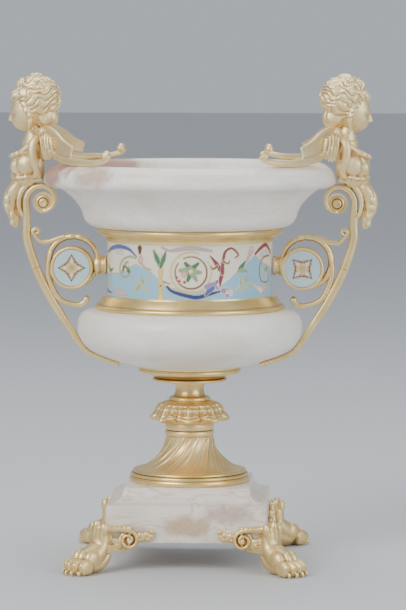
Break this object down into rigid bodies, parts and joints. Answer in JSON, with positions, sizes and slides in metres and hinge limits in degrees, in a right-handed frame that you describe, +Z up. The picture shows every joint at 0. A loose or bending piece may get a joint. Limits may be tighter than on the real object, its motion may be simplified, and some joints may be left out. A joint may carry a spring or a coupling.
{
  "type": "mantel urn",
  "caption": "Onyx and gilt bronze mantel urn with an enamelled band, scroll handles with winged busts, a spiral stem and a square plinth on lion's paw feet.",
  "frame": {"origin": "on the surface the urn stands on, under the middle of its box", "axes": "+Z up, +X through the right handle, -Y to the front"},
  "size_m": [0.2904, 0.2266, 0.38],
  "materials": {
    "onyx": "polished translucent onyx, warm white with brown-red veins at one side of the rim",
    "plinth_onyx": "polished onyx, greyer, with ochre and reddish veins",
    "gilt_bronze": "burnished and satin gilding with brown recesses",
    "pale_gilt": "matte fire gilding, paler",
    "band_enamel": "champleve enamel: cream above, sky blue below, with scrolls in gilt outlines",
    "roundel_enamel": "champleve enamel: pale blue with a gilt and maroon star"
  },
  "bodies": {
    "root": {"foot_front_left": "gilt_bronze", "foot_front_right": "gilt_bronze", "foot_back_left": "gilt_bronze", "foot_back_right": "gilt_bronze", "plinth": "plinth_onyx", "socle_ring": "gilt_bronze", "spiral_foot": "gilt_bronze", "acanthus_collar": "gilt_bronze", "neck_spool": "gilt_bronze", "bowl_cup": "gilt_bronze", "lower_bowl": "onyx", "lower_ring": "gilt_bronze", "enamel_band": "band_enamel", "upper_ring": "gilt_bronze", "upper_bowl": "onyx", "handle_left": "gilt_bronze", "handle_right": "gilt_bronze", "roundel_left_front": "roundel_enamel", "roundel_left_back": "roundel_enamel", "roundel_right_front": "roundel_enamel", "roundel_right_back": "roundel_enamel", "figure_left": "pale_gilt", "figure_right": "pale_gilt"}
  },
  "joints": []
}
